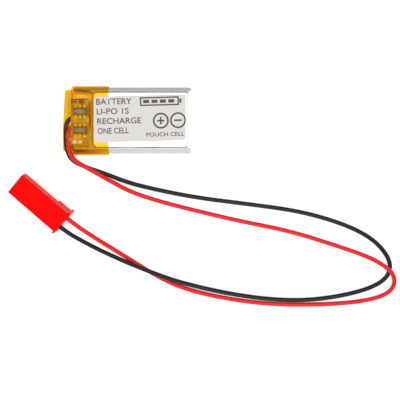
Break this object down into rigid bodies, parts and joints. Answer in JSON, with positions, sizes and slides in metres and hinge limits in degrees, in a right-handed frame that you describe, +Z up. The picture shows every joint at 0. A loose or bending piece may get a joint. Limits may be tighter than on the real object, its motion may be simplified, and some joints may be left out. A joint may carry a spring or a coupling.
{
  "type": "lipo battery pack",
  "caption": "Flat pouch cell with a taped protection board at one end and two leads ending in a latched connector, for small models.",
  "frame": {"origin": "middle of the pack's underside, on the surface it lies on, without the leads and the connector", "axes": "+X along the pack from its board end to its folded end, +Y across it away from the leads, +Z up from the underside to the label"},
  "size_m": [0.0838, 0.0479, 0.0056],
  "materials": {
    "foil": "laminate foil with a matt nylon face",
    "anode_coat": "graphite coat, dull",
    "cathode_coat": "oxide coat, dull",
    "separator": "thin polymer film",
    "fixing_tape": "thin film",
    "tab_aluminium": "satin strip",
    "tab_nickel": "satin strip",
    "tab_film": "milky film",
    "foam": "fine foam",
    "board": "pale laminate with clear mask",
    "gold": "plated",
    "ic_black": "moulded epoxy",
    "tin": "tinned",
    "solder": "bright solder",
    "chip_black": "glazed",
    "chip_tan": "ceramic body",
    "amber_tape": "clear amber polyimide film",
    "label": "off-white film label",
    "lead_red": "smooth insulation",
    "lead_black": "smooth insulation",
    "connector_red": "glossy nylon",
    "contact_tin": "tin-plated strip"
  },
  "bodies": {
    "pack": {"pouch": "foil", "anode_strip": "anode_coat", "cathode_strip": "cathode_coat", "separator_inner": "separator", "separator_outer": "separator", "roll_end_tape": "fixing_tape", "tab_positive": "tab_aluminium", "tab_negative": "tab_nickel", "tab_film_positive": "tab_film", "tab_film_negative": "tab_film", "foam_strip": "foam", "pcm_board": "board", "board_pads": "gold", "protection_ic_body": "ic_black", "protection_ic_leads": "tin", "mosfet_pair_body": "ic_black", "mosfet_pair_leads": "tin", "resistor_supply": "chip_black", "resistor_sense": "chip_black", "capacitor": "chip_tan", "solder_red": "solder", "solder_black": "solder", "strands_red": "tin", "strands_black": "tin", "wrap_tape": "amber_tape", "end_tape": "amber_tape", "label": "label", "lead_red": "lead_red", "lead_black": "lead_black", "connector_housing": "connector_red", "contact_red": "contact_tin", "contact_black": "contact_tin", "crimp_strands_red": "tin", "crimp_strands_black": "tin"},
    "lever": {"lock_lever": "connector_red"}
  },
  "joints": [
    {"name": "lock_lever", "type": "hinge", "parent": "pack", "child": "lever", "pos_m": [-0.01939, -0.01668, 0.00179], "axis": [-0.6435, -0.7455, -0.1736], "range_deg": [0, 3.4], "stiffness_Nm_per_rad": 0.05}
  ]
}
